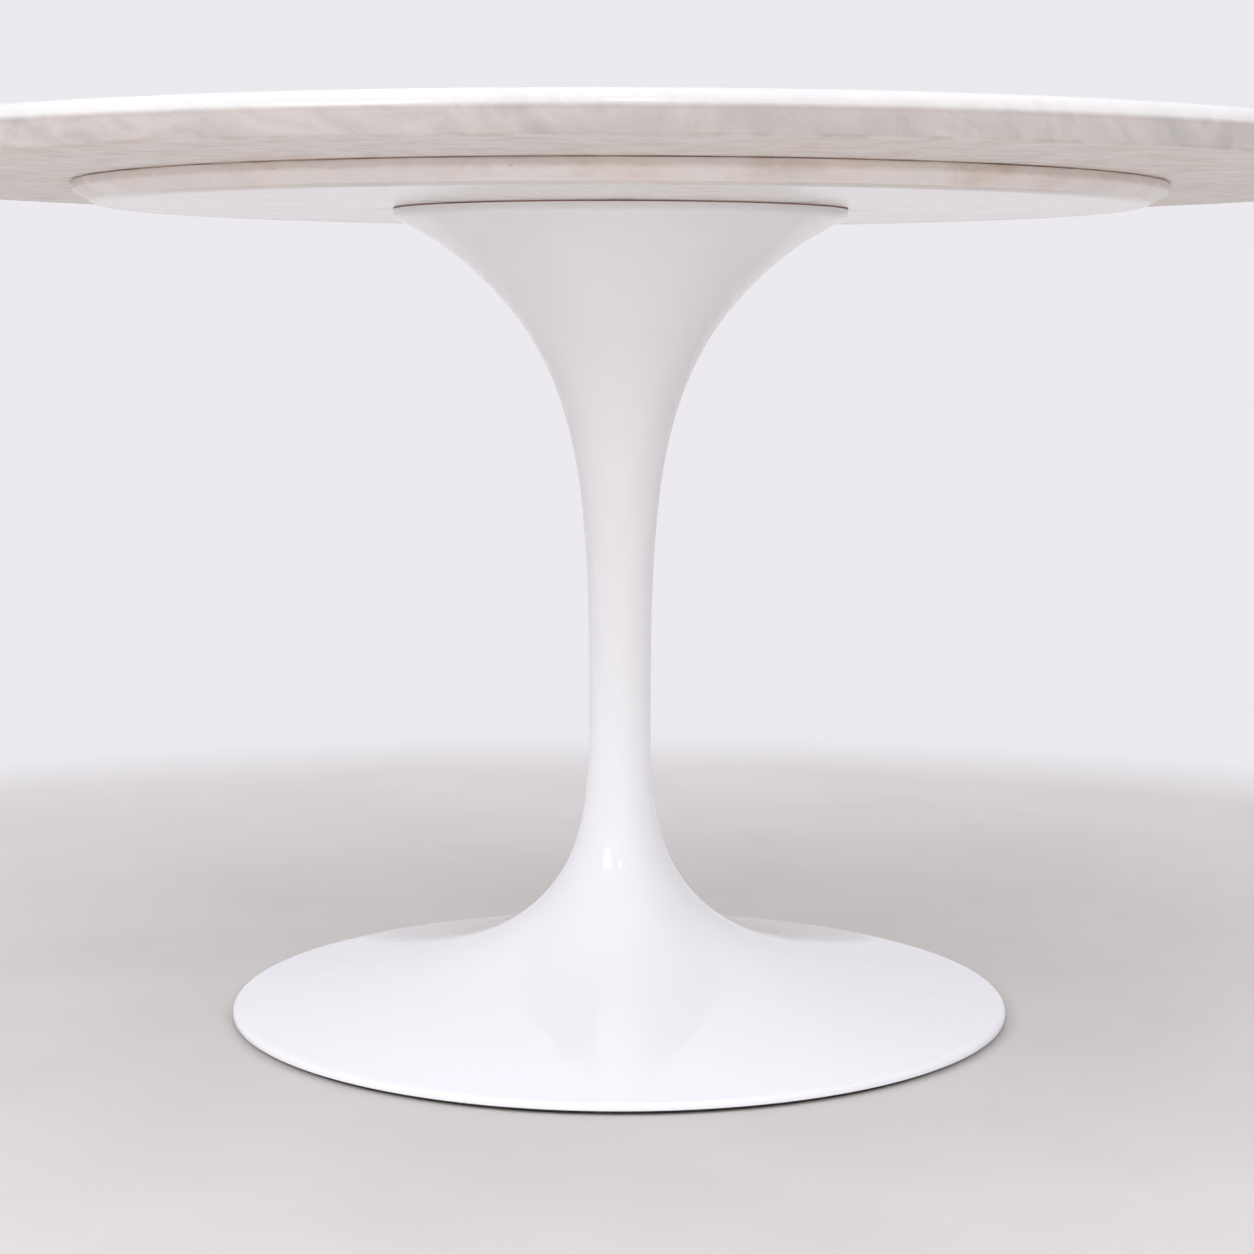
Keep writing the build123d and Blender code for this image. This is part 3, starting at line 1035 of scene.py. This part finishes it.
screed, tree, shader, position = new_material("pale screed", Roughness=0.75)
worn = rise(tree, grain(tree, position, 5.0), 0.3, 0.7)
feed(tree, shader["Base Color"], tint(tree, worn, floor_tone, worn_tone))
fade = rise(tree, vector(tree, "LENGTH", position), fade_start, fade_end)
glow = add(tree, "ShaderNodeEmission", surround_tone, 1.0)[0]
faded = times(tree, fade, seen_directly(tree))
mixed = add(tree, "ShaderNodeMixShader", faded, tree.nodes["Principled BSDF"].outputs[0], glow)[0]
from_below = add(tree, "ShaderNodeNewGeometry")["Backfacing"]
clear = add(tree, "ShaderNodeBsdfTransparent")[0]
hidden = times(tree, from_below, add(tree, "ShaderNodeLightPath")["Is Camera Ray"])
mixed = add(tree, "ShaderNodeMixShader", hidden, mixed, clear)[0]
feed(tree, tree.nodes["Material Output"].inputs["Surface"], mixed)

# The floor is open where the foot hides it, so that the hollow can be seen from below.
floor = turn("floor", [(floor_radius, 0), (1.0, 0), (floor_opening, 0)], screed, around=96)

world = bpy.data.worlds.new("surround")
bpy.context.scene.world = world
world.use_nodes = True
tree = world.node_tree
ambient = tree.nodes["Background"]
feed(tree, ambient.inputs["Color"], ambient_tone)
feed(tree, ambient.inputs["Strength"], ambient_level)
visible = add(tree, "ShaderNodeBackground", surround_tone, 1.0)[0]
mixed = add(tree, "ShaderNodeMixShader", seen_directly(tree), ambient.outputs[0], visible)[0]
feed(tree, tree.nodes["World Output"].inputs["Surface"], mixed)


def soft_light(name, place, target, width, depth, watts, color):
    """A rectangular lamp that faces a point. It isn't seen in reflections."""
    lamp = bpy.data.lights.new(name, "AREA")
    lamp.shape = "RECTANGLE"
    lamp.size, lamp.size_y = width, depth
    lamp.energy = watts
    lamp.color = color
    holder = bpy.data.objects.new(name, lamp)
    bpy.context.scene.collection.objects.link(holder)
    holder.location = place
    holder.rotation_euler = (Vector(target) - Vector(place)).to_track_quat("-Z", "Y").to_euler()
    holder.visible_glossy = False
    return holder


cool, warm, yellow, white = (0.97, 0.99, 1.075), (1.03, 0.995, 0.93), (1.05, 0.995, 0.90), (1.0, 1.0, 1.0)
soft_light("overhead", (0.0, -0.4, 2.9), (0, 0, 0.4), 3.0, 3.0, 44, cool)
soft_light("front_high", (0.0, -2.8, 3.0), (0, 0, 0.3), 3.0, 1.6, 26, cool)
soft_light("high_left", (-2.6, -1.2, 2.2), (0, 0, 0.1), 1.6, 1.6, 42, cool)
soft_light("high_right", (2.6, -1.2, 2.2), (0, 0, 0.1), 1.6, 1.6, 29, cool)
soft_light("back", (0.0, 2.8, 2.4), (0, 0, 0.3), 3.0, 1.6, 40, cool)
soft_light("front", (0.0, -4.2, 1.1), (0, 0, 0.4), 4.0, 1.6, 48, warm)
soft_light("front_left", (-2.6, -3.0, 1.7), (0, 0, 0.35), 2.2, 2.4, 18, warm)
soft_light("front_right", (3.0, -1.6, 1.6), (0, 0, 0.4), 1.6, 1.6, 5, yellow)
soft_light("below", (0.5, -1.2, -1.8), (0, 0, 0.05), 1.6, 1.6, 14, white)

# Two small windows that only show as sharp highlights in the coat, low on the stem.
daylight = (1.0, 1.0, 0.95)
for name, place, target, width, depth, watts in (
    ("window", (-1.145, -1.928, 1.418), (-0.011, -0.040, 0.139), 0.66, 0.59, 7.4),
    ("pane", (0.056, -2.132, 1.664), (0.0, -0.043, 0.134), 0.15, 0.18, 2.2),
):
    small_window = soft_light(name, place, target, width, depth, watts, daylight)
    small_window.visible_glossy = True
    small_window.visible_diffuse = False


# ------------------------------------------------------------------------ camera
# It stands in front of the table, a little lower than the top, and looks slightly down
# through a long lens.

camera_data = bpy.data.cameras.new("camera")
camera_data.lens = 78.15
camera_data.sensor_width = 36
camera = bpy.data.objects.new("camera", camera_data)
bpy.context.scene.collection.objects.link(camera)
camera.location = (0, -2.3378, 0.6013)
swing = Matrix.Rotation(math.radians(-0.147), 4, "Z")
tilt = Matrix.Rotation(math.pi / 2 - 0.113886, 4, "X")
roll = Matrix.Rotation(0.00215, 4, "Z")
camera.rotation_euler = (swing @ tilt @ roll).to_euler()
bpy.context.scene.camera = camera
bpy.context.scene.view_settings.view_transform = "Standard"
